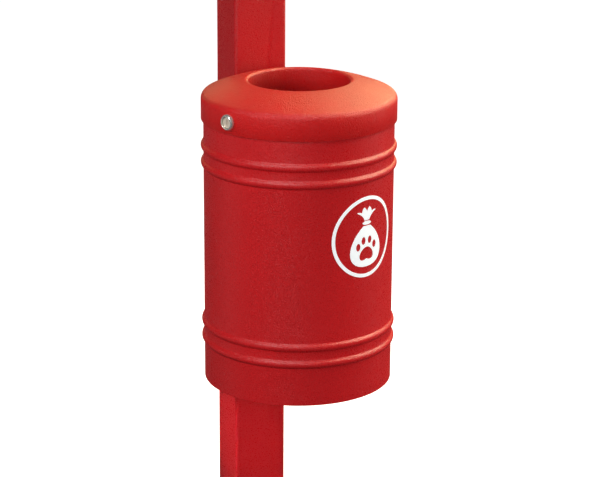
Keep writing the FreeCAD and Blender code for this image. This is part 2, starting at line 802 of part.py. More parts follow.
def make_emblem_pictogram():
    # A tied waste bag: a full sack with a paw print cut out of it, its tie, and its gathered top.
    sack = outline_bar([[(0, -51), (50, -51), (41, -4), (8, 19)], [(8, 19), (0, 19)]])
    tie = oval_bar(9.5, 3.2, 0, 24.0)
    top = outline_bar([[(0, 28.5), (5, 28.5)],
                       [(5, 28.5), (8, 36), (14, 40), (22, 43)],
                       [(22, 43), (17, 45), (14, 43), (11, 42)],
                       [(11, 42), (11, 45), (9, 49), (6, 51)],
                       [(6, 51), (3, 49), (1, 46), (0, 43)]])
    paw = [outline_bar([[(0, -37), (6, -41), (16, -41), (16, -32)],
                        [(16, -32), (16, -25), (7, -17), (0, -17)]])]
    for y, z in ((-18.5, -15.5), (-7.2, -6.0), (7.2, -6.0), (18.5, -15.5)):
        paw.append(oval_bar(4.6, 6.6, y, z))
    for print_mark in paw:
        sack = sack.cut(print_mark)
    return Part.makeCompound([vinyl(sack), vinyl(tie), vinyl(top)])


def main():
    os.makedirs("parts", exist_ok=True)
    save("post", make_post())
    save("post_cap", make_post_cap())
    save("base_plate", make_base_plate())
    save("base_gussets", make_base_gussets())
    for name, centre in saddle_heights.items():
        save(name, make_saddle_bracket(centre))
    save("mounting_bolts", at_each_bolt(mounting_bolt))
    save("saddle_washers", at_each_bolt(saddle_washer))
    save("spacer_sleeves", at_each_bolt(spacer_sleeve))
    save("rivet_nuts", at_each_bolt(rivet_nut))
    save("body_shell", make_body_shell())
    save("floor_pan", make_floor_pan())
    save("rim_buffers", make_rim_buffers())
    save("lid_shell", make_lid_shell())
    save("mouth_collar", make_mouth_collar())
    save("lid_rest_tabs", make_lid_rest_tabs())
    save("hinge_body_leaf", make_hinge_body_leaf())
    save("hinge_lid_leaf", make_hinge_lid_leaf())
    save("hinge_pin", make_hinge_pin())
    save("hinge_body_rivets", make_hinge_rivets(body_radius, body_wall, body_rivet_height))
    save("hinge_lid_rivets", make_hinge_rivets(skirt_radius, lid_wall, lid_rivet_height))
    save("lock_barrel", make_lock_barrel())
    save("lock_nut", make_lock_nut())
    save("lock_plug", make_lock_plug())
    save("lock_cam", make_lock_cam())
    save("lock_cam_screw", make_lock_cam_screw())
    save("lock_catch", make_lock_catch())
    save("liner_bucket", make_liner_bucket())
    save("emblem_ring", make_emblem_ring())
    save("emblem_pictogram", make_emblem_pictogram())


main()
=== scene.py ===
import bmesh
import bpy
import math
from mathutils import Matrix, Vector


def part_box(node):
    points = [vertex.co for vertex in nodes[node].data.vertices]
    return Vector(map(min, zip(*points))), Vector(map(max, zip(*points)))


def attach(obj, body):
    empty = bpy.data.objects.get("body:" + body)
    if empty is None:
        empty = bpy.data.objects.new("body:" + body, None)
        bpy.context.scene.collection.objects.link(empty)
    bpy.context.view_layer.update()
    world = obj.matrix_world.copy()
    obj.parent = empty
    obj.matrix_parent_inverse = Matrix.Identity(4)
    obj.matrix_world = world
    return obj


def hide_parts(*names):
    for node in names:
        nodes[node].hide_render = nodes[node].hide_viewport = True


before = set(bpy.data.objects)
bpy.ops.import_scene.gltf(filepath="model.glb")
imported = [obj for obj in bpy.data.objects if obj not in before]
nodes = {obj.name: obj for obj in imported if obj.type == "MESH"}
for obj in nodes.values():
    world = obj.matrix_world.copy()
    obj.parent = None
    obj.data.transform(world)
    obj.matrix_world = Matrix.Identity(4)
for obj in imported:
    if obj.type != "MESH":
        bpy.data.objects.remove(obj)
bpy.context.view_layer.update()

# Everything on the bin is drawn about its own axis, up from the body's bottom edge, then moved by onBin().
shellLow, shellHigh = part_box("body_shell")
binPlace = Vector(((shellLow.x + shellHigh.x) / 2, (shellLow.y + shellHigh.y) / 2, shellLow.z))
print("frame loaded, bin axis at", tuple(round(v, 4) for v in binPlace))


# Mesh helpers.

welding = {"close": 1e-7, "sliver": 1e-8, "cadClose": 2e-6, "cadFlat": 0.6}  # metres, and degrees for cadFlat


def onBin(angle=90.0):
    # turns outward X to an angle round the bin (from the front, positive to the right) and moves it there
    return Matrix.Translation(binPlace) @ Matrix.Rotation(math.radians(angle - 90.0), 4, "Z")


def arc(centreR, centreZ, radius, start, end, steps):
    # points of an arc, angles in degrees from outward
    points = []
    for i in range(steps + 1):
        a = math.radians(start + (end - start) * i / steps)
        points.append((centreR + radius * math.cos(a), centreZ + radius * math.sin(a)))
    return points


def newPiece(name, mesh, creaseAngle=40.0):
    # smooth shading, with edges kept sharp past the crease angle
    piece = bpy.data.objects.new(name, mesh)
    bpy.context.scene.collection.objects.link(piece)
    mesh.polygons.foreach_set("use_smooth", [True] * len(mesh.polygons))
    mesh.set_sharp_from_angle(angle=math.radians(creaseAngle))
    return piece


def meshFrom(bm, name, outward=True):
    if outward:
        bmesh.ops.recalc_face_normals(bm, faces=bm.faces)
    mesh = bpy.data.meshes.new(name)
    bm.to_mesh(mesh)
    bm.free()
    return mesh


def turned(name, profile, segments, place, creaseAngle=40.0):
    # a closed profile of (radius, height) points turned once round Z
    bm = bmesh.new()
    rings = []
    for i in range(segments):
        a = 2 * math.pi * i / segments
        rings.append([bm.verts.new((r * math.cos(a), r * math.sin(a), z)) for r, z in profile])
    for i in range(segments):
        here, there = rings[i], rings[(i + 1) % segments]
        for k in range(len(profile)):
            n = (k + 1) % len(profile)
            bm.faces.new((here[k], there[k], there[n], here[n]))
    bmesh.ops.remove_doubles(bm, verts=bm.verts, dist=welding["close"])
    bmesh.ops.dissolve_degenerate(bm, edges=bm.edges, dist=welding["sliver"])
    mesh = meshFrom(bm, name)
    mesh.transform(place)
    return newPiece(name, mesh, creaseAngle)


def applyModifiers(piece):
    graph = bpy.context.evaluated_depsgraph_get()
    mesh = bpy.data.meshes.new_from_object(piece.evaluated_get(graph))
    piece.modifiers.clear()
    old = piece.data
    piece.data = mesh
    bpy.data.meshes.remove(old)


def softCopy(nodeName, width, creaseAngle=35.0, steps=2):
    # a merged copy of a CAD node with its corners broken, as paint and folding leave them
    bm = bmesh.new()
    bm.from_mesh(nodes[nodeName].data)
    bmesh.ops.remove_doubles(bm, verts=bm.verts, dist=welding["cadClose"])
    flat = math.radians(welding["cadFlat"])
    bmesh.ops.dissolve_limit(bm, angle_limit=flat, verts=bm.verts, edges=bm.edges)
    mesh = meshFrom(bm, nodeName + "_soft", False)
    mesh.materials.clear()
    piece = newPiece(nodeName + "_soft", mesh, creaseAngle)
    bevel = piece.modifiers.new("breakCorners", "BEVEL")
    bevel.width = width
    bevel.segments = steps
    bevel.limit_method = "ANGLE"
    bevel.angle_limit = math.radians(creaseAngle)
    bevel.harden_normals = False
    applyModifiers(piece)
    piece.data.polygons.foreach_set("use_smooth", [True] * len(piece.data.polygons))
    piece.data.set_sharp_from_angle(angle=math.radians(creaseAngle))
    return piece


def finishPiece(piece, material, slot, rider, *standsFor):
    piece.data.materials.clear()
    piece.data.materials.append(material)
    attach(piece, rider)
    if standsFor:
        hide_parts(*standsFor)


def soften(node, width, material, slot, rider, *shape):
    # a softened copy that stands for its CAD node
    finishPiece(softCopy(node, width, *shape), material, slot, rider, node)


# Geometry node helpers.

def newTree(name, inputs):
    # a tree with a geometry input and named sizes; returns the tree, its input node and the sockets by name
    tree = bpy.data.node_groups.new(name, "GeometryNodeTree")
    tree.interface.new_socket(name="Geometry", in_out="INPUT", socket_type="NodeSocketGeometry")
    sockets = {}
    for label, kind, default in inputs:
        socket = tree.interface.new_socket(name=label, in_out="INPUT", socket_type="NodeSocket" + kind)
        socket.default_value = default
        sockets[label] = socket
    tree.interface.new_socket(name="Geometry", in_out="OUTPUT", socket_type="NodeSocketGeometry")
    entry = tree.nodes.new("NodeGroupInput")
    return tree, entry, sockets


def addNode(tree, kind, settings=None, **inputs):
    # inputs go by their socket's name, or as i0, i1 and so on by its place
    node = tree.nodes.new(kind)
    for key, value in (settings or {}).items():
        setattr(node, key, value)
    for key, value in inputs.items():
        socket = node.inputs[int(key[1:])] if key[0] == "i" and key[1:].isdigit() else node.inputs[key]
        if isinstance(value, bpy.types.NodeSocket):
            tree.links.new(value, socket)
        else:
            socket.default_value = value
    return node


def calc(tree, operation, a, b=None, c=None):
    node = tree.nodes.new("ShaderNodeMath")
    node.operation = operation
    for i, value in enumerate((a, b, c)):
        if isinstance(value, bpy.types.NodeSocket):
            tree.links.new(value, node.inputs[i])
        elif value is not None:
            node.inputs[i].default_value = value
    return node.outputs[0]


def endTree(tree, geometry, material):
    # every tree ends in real geometry with its own finish
    real = addNode(tree, "GeometryNodeRealizeInstances", Geometry=geometry)
    dressed = addNode(tree, "GeometryNodeSetMaterial", Geometry=real.outputs[0])
    dressed.inputs["Material"].default_value = material
    leave = tree.nodes.new("NodeGroupOutput")
    tree.links.new(dressed.outputs[0], leave.inputs[0])


def grow(name, sourceMesh, tree, sockets, values, creaseAngle=40.0):
    # runs a tree once on a source mesh and keeps the plain mesh
    carrier = bpy.data.objects.new(name, sourceMesh)
    bpy.context.scene.collection.objects.link(carrier)
    modifier = carrier.modifiers.new("grow", "NODES")
    modifier.node_group = tree
    for label, value in values.items():
        modifier[sockets[label].identifier] = value
    graph = bpy.context.evaluated_depsgraph_get()
    mesh = bpy.data.meshes.new_from_object(carrier.evaluated_get(graph))
    carrier.modifiers.clear()
    bpy.data.objects.remove(carrier)
    mesh.name = name
    return newPiece(name, mesh, creaseAngle)


# Finishes.

def newFinish(name):
    material = bpy.data.materials.new(name)
    material.use_nodes = True
    tree = material.node_tree
    shader = tree.nodes["Principled BSDF"]
    place = tree.nodes.new("ShaderNodeTexCoord").outputs["Object"]
    return material, tree, shader, place


def grain(tree, place, scale, detail=2.0, roughness=0.5, stretch=(1, 1, 1)):
    # noise at so many cells to the metre
    mapping = addNode(tree, "ShaderNodeMapping", Vector=place)
    mapping.inputs["Scale"].default_value = [scale * s for s in stretch]
    noise = addNode(tree, "ShaderNodeTexNoise", Vector=mapping.outputs[0])
    noise.inputs["Scale"].default_value = 1.0
    noise.inputs["Detail"].default_value = detail
    noise.inputs["Roughness"].default_value = roughness
    return noise.outputs[0]


def spread(tree, value, low, high, fromLow=0.3, fromHigh=0.7):
    node = addNode(tree, "ShaderNodeMapRange", Value=value)
    for label, number in zip(("From Min", "From Max", "To Min", "To Max"), (fromLow, fromHigh, low, high)):
        node.inputs[label].default_value = number
    return node.outputs[0]


def blendColour(tree, factor, first, second):
    # each of the three is a socket or a plain value
    node = tree.nodes.new("ShaderNodeMix")
    node.data_type = "RGBA"
    sockets = [s for s in node.inputs if s.enabled]
    for socket, value in zip(sockets, (factor, first, second)):
        if isinstance(value, bpy.types.NodeSocket):
            tree.links.new(value, socket)
        elif isinstance(value, (tuple, list)):
            socket.default_value = (*value, 1.0)
        else:
            socket.default_value = value
    return [s for s in node.outputs if s.enabled][0]


def relief(tree, shader, heights):
    # heights: (noise, strength, distance in metres), stacked one on the other
    normal = None
    for height, strength, distance in heights:
        bump = addNode(tree, "ShaderNodeBump", Height=height)
        bump.inputs["Strength"].default_value = strength
        bump.inputs["Distance"].default_value = distance
        if normal:
            tree.links.new(normal, bump.inputs["Normal"])
        normal = bump.outputs[0]
    tree.links.new(normal, shader.inputs["Normal"])


redCoat = {
    # one red paint on post, body and lid: the lid's copy is given lighter and the post's darker than the
    # body's, as painted light and painted shade
    "post": (0.480, 0.0105, 0.0135),
    "body": (0.580, 0.0120, 0.0150),
    "lid": (0.665, 0.0120, 0.0125),
    "chip": (0.070, 0.058, 0.055),
    # cells to the metre
    "mottle": 9.0, "skin": 460.0, "sheen": 420.0, "patches": 130.0, "peel": 120.0,
    # darkest share of the colour in the mottle and in the skin's pits, where the pits' darkening is painted
    # shade, and how far the pits show
    "mottleShade": 0.92, "paintedPitShade": 0.70, "paintedPitMix": 0.30,
    "edge": (0.60, 0.70), "wornRoughness": 0.25, "gloss": 0.45, "peelStrength": 0.30,
    "peelDepth": 0.0005, "skinDepth": 0.0009,
}


def powderCoat(name, colour, peel=1.0, roughness=(0.24, 0.38)):
    # fine-textured red powder coat: a grainy skin with painted shade in its pits, a faint mottle, and rubbed
    # high edges
    material, tree, shader, place = newFinish(name)
    deep = [c * redCoat["mottleShade"] for c in colour]
    pitShadedTone = [c * redCoat["paintedPitShade"] for c in colour]
    mottle = grain(tree, place, redCoat["mottle"], 4.0)
    tone = blendColour(tree, spread(tree, mottle, 0.0, 1.0), colour, deep)
    skin = grain(tree, place, redCoat["skin"], 2.0, 0.6)
    # painted shade: where the skin's bump is low, in its pits, the colour is darkened
    tone = blendColour(tree, spread(tree, skin, 0.0, redCoat["paintedPitMix"], 0.55, 0.35), tone, pitShadedTone)
    edge = addNode(tree, "ShaderNodeNewGeometry").outputs["Pointiness"]
    rubbed = spread(tree, edge, 0.0, 1.0, *redCoat["edge"])
    patchy = spread(tree, grain(tree, place, redCoat["patches"], 5.0, 0.65), 0.0, 1.0, 0.62, 0.70)
    worn = calc(tree, "MULTIPLY", rubbed, patchy)
    tone = blendColour(tree, worn, tone, redCoat["chip"])
    tree.links.new(tone, shader.inputs["Base Color"])
    sheen = spread(tree, grain(tree, place, redCoat["sheen"], 3.0), roughness[0], roughness[1])
    dulled = calc(tree, "ADD", sheen, calc(tree, "MULTIPLY", worn, redCoat["wornRoughness"]))
    tree.links.new(dulled, shader.inputs["Roughness"])
    shader.inputs["Specular IOR Level"].default_value = redCoat["gloss"]
    relief(tree, shader, [
        (grain(tree, place, redCoat["peel"], 1.0), redCoat["peelStrength"] * peel, redCoat["peelDepth"]),
        (skin, 1.0, redCoat["skinDepth"] * peel)])
    return material


capRed = {"colour": (0.34, 0.010, 0.012), "shade": 0.88, "mottle": 14.0, "sheen": 60.0, "skin": 1500.0}


def mouldedPlastic(name):
    material, tree, shader, place = newFinish(name)
    deep = [c * capRed["shade"] for c in capRed["colour"]]
    mottle = grain(tree, place, capRed["mottle"], 3.0)
    tone = blendColour(tree, spread(tree, mottle, 0.0, 1.0), capRed["colour"], deep)
    tree.links.new(tone, shader.inputs["Base Color"])
    tree.links.new(spread(tree, grain(tree, place, capRed["sheen"]), 0.42, 0.56), shader.inputs["Roughness"])
    relief(tree, shader, [(grain(tree, place, capRed["skin"], 2.0), 0.25, 0.0001)])
    return material


def plated(name, colour, dull, roughness, brush=(1, 1, 1), scale=900.0, bump=0.15, metallic=1.0):
    # bright plated metal with a fine grain and duller handling marks
    material, tree, shader, place = newFinish(name)
    shader.inputs["Metallic"].default_value = metallic
    marks = grain(tree, place, 160.0, 4.0, 0.6)
    tone = blendColour(tree, spread(tree, marks, 0.0, 1.0, 0.42, 0.72), colour, dull)
    tree.links.new(tone, shader.inputs["Base Color"])
    tree.links.new(spread(tree, marks, roughness[0], roughness[1]), shader.inputs["Roughness"])
    relief(tree, shader, [(grain(tree, place, scale, 2.0, 0.5, brush), bump, 0.0001)])
    return material


spangle = {
    "bright": (0.56, 0.58, 0.60), "dark": (0.36, 0.385, 0.41), "bloom": (0.50, 0.50, 0.48),
    "crystals": 95.0, "bloomPatches": 22.0, "grain": 420.0, "metallic": 0.6,
}


def galvanised(name):
    # hot-dip spangle: flat crystals a few millimetres across, each at its own tone
    material, tree, shader, place = newFinish(name)
    shader.inputs["Metallic"].default_value = spangle["metallic"]
    crystals = addNode(tree, "ShaderNodeTexVoronoi", {"feature": "F1"}, Vector=place)
    crystals.inputs["Scale"].default_value = spangle["crystals"]
    value = addNode(tree, "ShaderNodeSeparateColor", Color=crystals.outputs["Color"]).outputs[0]
    tone = blendColour(tree, value, spangle["bright"], spangle["dark"])
    bloom = spread(tree, grain(tree, place, spangle["bloomPatches"], 4.0), 0.0, 0.6, 0.45, 0.75)
    tone = blendColour(tree, bloom, tone, spangle["bloom"])
    tree.links.new(tone, shader.inputs["Base Color"])
    tree.links.new(spread(tree, value, 0.30, 0.52, 0.0, 1.0), shader.inputs["Roughness"])
    relief(tree, shader, [(value, 0.12, 0.0003), (grain(tree, place, spangle["grain"]), 0.15, 0.0001)])
    return material


def rubber(name):
    material, tree, shader, place = newFinish(name)
    tone = blendColour(tree, grain(tree, place, 90.0, 3.0), (0.012, 0.012, 0.012), (0.030, 0.029, 0.028))
    tree.links.new(tone, shader.inputs["Base Color"])
    tree.links.new(spread(tree, grain(tree, place, 240.0), 0.62, 0.85), shader.inputs["Roughness"])
    relief(tree, shader, [(grain(tree, place, 900.0, 3.0), 0.35, 0.0002)])
    return material


vinyl = {
    "white": (0.95, 0.98, 1.0), "aged": (0.90, 0.94, 0.96), "patches": 30.0, "sheen": 70.0, "stipple": 640.0,
    # the emission tint and strength below are a painted glow that lights the film from within
    "paintedGlowTint": (0.80, 0.92, 1.0, 1.0), "glow": 0.20,
}


def vinylFilm(name):
    # white self-adhesive film with a faint stipple from the coat under it, and a painted glow that makes it
    # look whiter than the lamps light it
    material, tree, shader, place = newFinish(name)
    patches = grain(tree, place, vinyl["patches"], 4.0)
    tone = blendColour(tree, spread(tree, patches, 0.0, 1.0), vinyl["white"], vinyl["aged"])
    tree.links.new(tone, shader.inputs["Base Color"])
    tree.links.new(spread(tree, grain(tree, place, vinyl["sheen"]), 0.30, 0.42), shader.inputs["Roughness"])
    shader.inputs["Emission Color"].default_value = vinyl["paintedGlowTint"]  # painted glow: the film is lit from within so it reads whiter
    shader.inputs["Emission Strength"].default_value = vinyl["glow"]
    relief(tree, shader, [(grain(tree, place, vinyl["stipple"], 2.0), 0.12, 0.0002)])
    return material


# the post's and the lid's reds differ from the body's only as painted shade and painted light
postPaint = powderCoat("postPaint", redCoat["post"])
bodyPaint = powderCoat("bodyPaint", redCoat["body"])
lidPaint = powderCoat("lidPaint", redCoat["lid"], 1.9, (0.26, 0.40))
hingePaint = powderCoat("hingePaint", redCoat["body"], 0.8)
capPlastic = mouldedPlastic("capPlastic")
zincPlate = plated("zincPlate", (0.62, 0.63, 0.64), (0.44, 0.46, 0.50), (0.26, 0.42))
hingeSteel = plated("hingeSteel", (0.58, 0.57, 0.56), (0.40, 0.39, 0.38), (0.28, 0.40), brush=(1, 1, 8))
lockNickel = plated("lockNickel", (0.86, 0.84, 0.78), (0.74, 0.72, 0.66), (0.18, 0.28),
                    scale=500.0, bump=0.05, metallic=0.75)
plugNickel = plated("plugNickel", (0.80, 0.69, 0.56), (0.62, 0.53, 0.43), (0.40, 0.50),
                    brush=(1, 1, 6), scale=1400.0, bump=0.3, metallic=0.4)
linerZinc = galvanised("linerZinc")
bufferRubber = rubber("bufferRubber")
signVinyl = vinylFilm("signVinyl")
print("finishes ready")


# Body: a rolled sheet with swaged beads.

body = {
    "radius": 0.160, "height": 0.4585, "wall": 0.0015, "bend": 0.003, "flange": 0.013,
    "beads": (0.0725, 0.1015, 0.3795, 0.4085), "proud": 0.0045, "half": 0.0085, "root": 0.0035,
    "segments": 288, "wallRows": 2, "beadRows": 22, "bendRows": 6, "seam": 0.00001, "crease": 60.0,
}


def makeBeadedTree(material, inputs):
    # s runs up the wall, round the rim's bend and in along the flange; beads push the wall out
    tree, entry, sockets = newTree("beadedWall", inputs)
    size = entry.outputs
    half = size["Bead half height"]
    proud = size["Bead proud"]
    root = size["Bead root"]
    bend = size["Bend"]

    def plus(a, b):
        return calc(tree, "ADD", a, b)

    def minus(a, b):
        return calc(tree, "SUBTRACT", a, b)

    def times(a, b):
        return calc(tree, "MULTIPLY", a, b)

    def overCentre(radius, across):
        # how high a round stands over its centre, this far across it
        squares = minus(times(radius, radius), times(across, across))
        return calc(tree, "SQRT", calc(tree, "MAXIMUM", squares, 0.0))

    # two round roots run into one round crown: reach is the distance between their centres
    reach = calc(tree, "DIVIDE", plus(times(proud, proud), times(half, half)), times(proud, 2.0))
    crown = minus(reach, root)
    meet = times(crown, calc(tree, "DIVIDE", half, reach))
    straight = minus(size["Height"], bend)
    bendLength = times(bend, math.pi / 2)
    beadSockets = [size["Bead %d" % (i + 1)] for i in range(len(body["beads"]))]

    def wallSheet(start, end, rows):
        grid = addNode(tree, "GeometryNodeMeshGrid")
        grid.inputs["Size X"].default_value = 1.0
        grid.inputs["Size Y"].default_value = 1.0
        grid.inputs["Vertices X"].default_value = rows + 1
        tree.links.new(plus(size["Segments"], 1.0), grid.inputs["Vertices Y"])
        flat = addNode(tree, "GeometryNodeInputPosition").outputs[0]
        spot = addNode(tree, "ShaderNodeSeparateXYZ", Vector=flat).outputs
        s = calc(tree, "MULTIPLY_ADD", plus(spot[0], 0.5), minus(end, start), start)
        angle = times(plus(spot[1], 0.5), -2 * math.pi)
        # distance to the nearest bead
        gap = half
        for bead in beadSockets:
            gap = calc(tree, "MINIMUM", gap, calc(tree, "ABSOLUTE", minus(s, bead)))
        onCrown = plus(minus(proud, crown), overCentre(crown, gap))
        onRoot = minus(root, overCentre(root, minus(half, gap)))
        isRoot = calc(tree, "GREATER_THAN", gap, meet)
        bump = plus(times(isRoot, onRoot), times(minus(1.0, isRoot), onCrown))
        # the turn of the rim's bend so far, and how far along the flange
        pastStraight = calc(tree, "MAXIMUM", minus(s, straight), 0.0)
        turn = calc(tree, "MINIMUM", calc(tree, "DIVIDE", pastStraight, bend), math.pi / 2)
        pastBend = calc(tree, "MAXIMUM", minus(s, plus(straight, bendLength)), 0.0)
        bent = plus(minus(size["Radius"], bend), times(bend, calc(tree, "COSINE", turn)))
        radius = plus(minus(bent, pastBend), bump)
        height = plus(calc(tree, "MINIMUM", s, straight), times(bend, calc(tree, "SINE", turn)))
        place = addNode(tree, "ShaderNodeCombineXYZ", i0=times(radius, calc(tree, "COSINE", angle)),
                        i1=times(radius, calc(tree, "SINE", angle)), i2=height)
        sheet = addNode(tree, "GeometryNodeSetPosition", Geometry=grid.outputs[0], Position=place.outputs[0])
        return sheet.outputs[0]

    sheets = []
    start = times(size["Height"], 0.0)
    for bead in beadSockets:
        low = minus(bead, half)
        high = plus(bead, half)
        sheets.append(wallSheet(start, low, body["wallRows"]))
        sheets.append(wallSheet(low, high, body["beadRows"]))
        start = high
    bendEnd = plus(straight, bendLength)
    flangeEnd = plus(bendEnd, minus(size["Flange"], bend))
    sheets.append(wallSheet(start, straight, body["wallRows"]))
    sheets.append(wallSheet(straight, bendEnd, body["bendRows"]))
    sheets.append(wallSheet(bendEnd, flangeEnd, body["wallRows"]))
    joined = tree.nodes.new("GeometryNodeJoinGeometry")
    for sheet in sheets:
        tree.links.new(sheet, joined.inputs[0])
    welded = addNode(tree, "GeometryNodeMergeByDistance", Geometry=joined.outputs[0])
    welded.inputs["Distance"].default_value = body["seam"]
    endTree(tree, welded.outputs[0], material)
    return tree, sockets


def makeBody():
    inputs = [("Radius", "Float", body["radius"]), ("Height", "Float", body["height"]),
              ("Bend", "Float", body["bend"]), ("Flange", "Float", body["flange"]),
              ("Bead proud", "Float", body["proud"]), ("Bead half height", "Float", body["half"]),
              ("Bead root", "Float", body["root"]), ("Segments", "Int", body["segments"])]
    inputs += [("Bead %d" % (i + 1), "Float", height) for i, height in enumerate(body["beads"])]
    tree, sockets = makeBeadedTree(bodyPaint, inputs)
    values = {label: value for label, kind, value in inputs}
    wall = grow("bodySheet", bpy.data.meshes.new("empty"), tree, sockets, values, body["crease"])
    skin = wall.modifiers.new("sheetThickness", "SOLIDIFY")
    skin.thickness = body["wall"]
    skin.offset = -1.0
    skin.use_even_offset = True
    skin.use_quality_normals = True
    applyModifiers(wall)
    wall.data.transform(onBin())
    wall.data.set_sharp_from_angle(angle=math.radians(body["crease"]))
    finishPiece(wall, bodyPaint, "body_paint", "root", "body_shell")


makeBody()
soften("floor_pan", 0.0003, bodyPaint, "body_paint", "root")
soften("lock_catch", 0.0003, bodyPaint, "body_paint", "root")
print("body done")


# Lid and mouth, one unbroken skin.

lid = {
    "inner": 0.1625, "outer": 0.164, "wall": 0.0015, "skirtBottom": 0.4535, "shoulder": 0.012,
    "domeHeight": 0.1092, "dome": 0.420, "mouth": 0.085, "roll": 0.005, "collarBottom": 0.4743,
    "edge": 0.0005, "segments": 288, "shoulderSteps": 14, "domeSteps": 16, "lipSteps": 12, "crease": 50.0,
}


def lidLine(inset):
    # the outer line moved inwards by inset: up the skirt, over the shoulder and dome, round the lip
    shoulderR = lid["outer"] - lid["shoulder"]
    domeZ = lid["domeHeight"]
    shoulderZ = domeZ + math.sqrt((lid["dome"] - lid["shoulder"]) ** 2 - shoulderR ** 2)
    lipR = lid["mouth"] + lid["roll"]
    lipZ = domeZ + math.sqrt((lid["dome"] - lid["roll"]) ** 2 - lipR ** 2)
    outerTurn = math.degrees(math.acos(shoulderR / (lid["dome"] - lid["shoulder"])))
    innerTurn = math.degrees(math.acos(lipR / (lid["dome"] - lid["roll"])))
    line = arc(shoulderR, shoulderZ, lid["shoulder"] - inset, 0, outerTurn, lid["shoulderSteps"])
    line += arc(0, domeZ, lid["dome"] - inset, outerTurn, innerTurn, lid["domeSteps"])[1:]
    line += arc(lipR, lipZ, lid["roll"] - inset, innerTurn, 180, lid["lipSteps"])[1:]
    return line


def makeLid():
    edge = lid["edge"]
    mouth, inside = lid["mouth"], lid["mouth"] + lid["wall"]
    skirt, collar = lid["skirtBottom"], lid["collarBottom"]
    profile = [(lid["outer"], skirt + edge)] + lidLine(0.0)
    profile += [(mouth, collar + edge), (mouth + edge, collar)]
    profile += [(inside - edge, collar), (inside, collar + edge)]
    profile += list(reversed(lidLine(lid["wall"])))
    profile += [(lid["inner"], skirt + edge), (lid["inner"] + edge, skirt), (lid["outer"] - edge, skirt)]
    piece = turned("lidDome", profile, lid["segments"], onBin(), lid["crease"])
    finishPiece(piece, lidPaint, "lid_paint", "lid", "lid_shell", "mouth_collar")


makeLid()
soften("lid_rest_tabs", 0.0003, lidPaint, "lid_paint", "lid")
print("lid done")


# Lock.

lock = {
    "angle": -66.0, "height": 0.474, "seat": 0.16405, "bore": 0.00655, "barrel": 0.008, "head": 0.0133,
    "headHeight": 0.0068, "rim": 0.0029, "side": 0.0016, "recess": 0.0098, "recessDepth": 0.0048,
    "barrelEnd": 0.14355, "chamfer": 0.0003, "seatChamfer": 0.0002, "lip": 0.0004, "rimSteps": 12,
    "segments": 96, "crease": 35.0,
}


def lockPlace():
    # a lathe's Z becomes the lock's outward axis
    outward = Matrix.Rotation(math.pi / 2, 4, "Y")
    return onBin(lock["angle"]) @ Matrix.Translation((0, 0, lock["height"])) @ outward


def makeLockBarrel():
    seat = lock["seat"]
    face = seat + lock["headHeight"]
    crownR = lock["head"] - lock["rim"]
    chamfer = lock["chamfer"]
    profile = [(lock["bore"], lock["barrelEnd"]), (lock["barrel"] - chamfer, lock["barrelEnd"]),
               (lock["barrel"], lock["barrelEnd"] + chamfer), (lock["barrel"], seat),
               (lock["head"] - lock["seatChamfer"], seat), (lock["head"], seat + chamfer),
               (lock["head"], seat + lock["side"])]
    # the domed rim: a quarter of an oval from the side up to the crown, then down into the recess
    for i in range(1, lock["rimSteps"] + 1):
        a = math.pi / 2 * i / lock["rimSteps"]
        profile.append((crownR + lock["rim"] * math.cos(a),
                        seat + lock["side"] + (lock["headHeight"] - lock["side"]) * math.sin(a)))
    profile += arc(lock["recess"] + lock["lip"], face - lock["lip"], lock["lip"], 90, 180, 3)
    floor = face - lock["recessDepth"]
    profile += [(lock["recess"], floor), (lock["bore"], floor)]
    piece = turned("lockBarrel", profile, lock["segments"], lockPlace(), lock["crease"])
    finishPiece(piece, lockNickel, "lock_nickel", "lid", "lock_barrel")


makeLockBarrel()
soften("lock_plug", 0.00015, plugNickel, "plug_brass_nickel", "lock_rotor", 30.0, 2)
soften("lock_nut", 0.0004, zincPlate, "fastener_zinc", "lid")
soften("lock_cam", 0.0003, zincPlate, "fastener_zinc", "lock_rotor")
soften("lock_cam_screw", 0.0002, zincPlate, "fastener_zinc", "lock_rotor")
print("lock done")


# Fasteners set out in rows.

def makeRowTree(name, material):
    # copies the source along one step and then along a second
    tree, entry, sockets = newTree(name, [
        ("First", "Vector", (0, 0, 0)), ("Step", "Vector", (0, 0, 0)), ("Count", "Int", 2),
        ("Row step", "Vector", (0, 0, 0)), ("Rows", "Int", 1)])
    size = entry.outputs
    row = addNode(tree, "GeometryNodeMeshLine", Count=size["Count"])
    tree.links.new(size["First"], row.inputs["Start Location"])
    tree.links.new(size["Step"], row.inputs["Offset"])
    rows = addNode(tree, "GeometryNodeMeshLine", Count=size["Rows"])
    tree.links.new(size["Row step"], rows.inputs["Offset"])
    inner = addNode(tree, "GeometryNodeInstanceOnPoints", Points=row.outputs[0], Instance=size["Geometry"])
    outer = addNode(tree, "GeometryNodeInstanceOnPoints", Points=rows.outputs[0], Instance=inner.outputs[0])
    endTree(tree, outer.outputs[0], material)
    return tree, sockets


def makeSetOut(name, source, material, values, place, creaseAngle=40.0):
    tree, sockets = makeRowTree(name + "Rows", material)
    piece = grow(name, source, tree, sockets, values, creaseAngle)
    piece.data.transform(place)
    return piece


def sourceFrom(name, profile, segments):
    # a turned source lying along X, ready for the rows
    piece = turned(name, profile, segments, Matrix.Rotation(math.pi / 2, 4, "Y"))
    mesh = piece.data
    bpy.data.objects.remove(piece)
    return mesh


hinge = {
    "angle": 100.0, "rivetSpacing": 0.028, "rivet": 0.0024, "rivetHead": 0.0046, "rivetDome": 0.002,
    "tail": 0.0038, "tailHeight": 0.0014, "tailRound": 0.0005, "leaf": 0.0025, "bodyRivetHeight": 0.434,
    "lidRivetHeight": 0.469, "segments": 40,
}


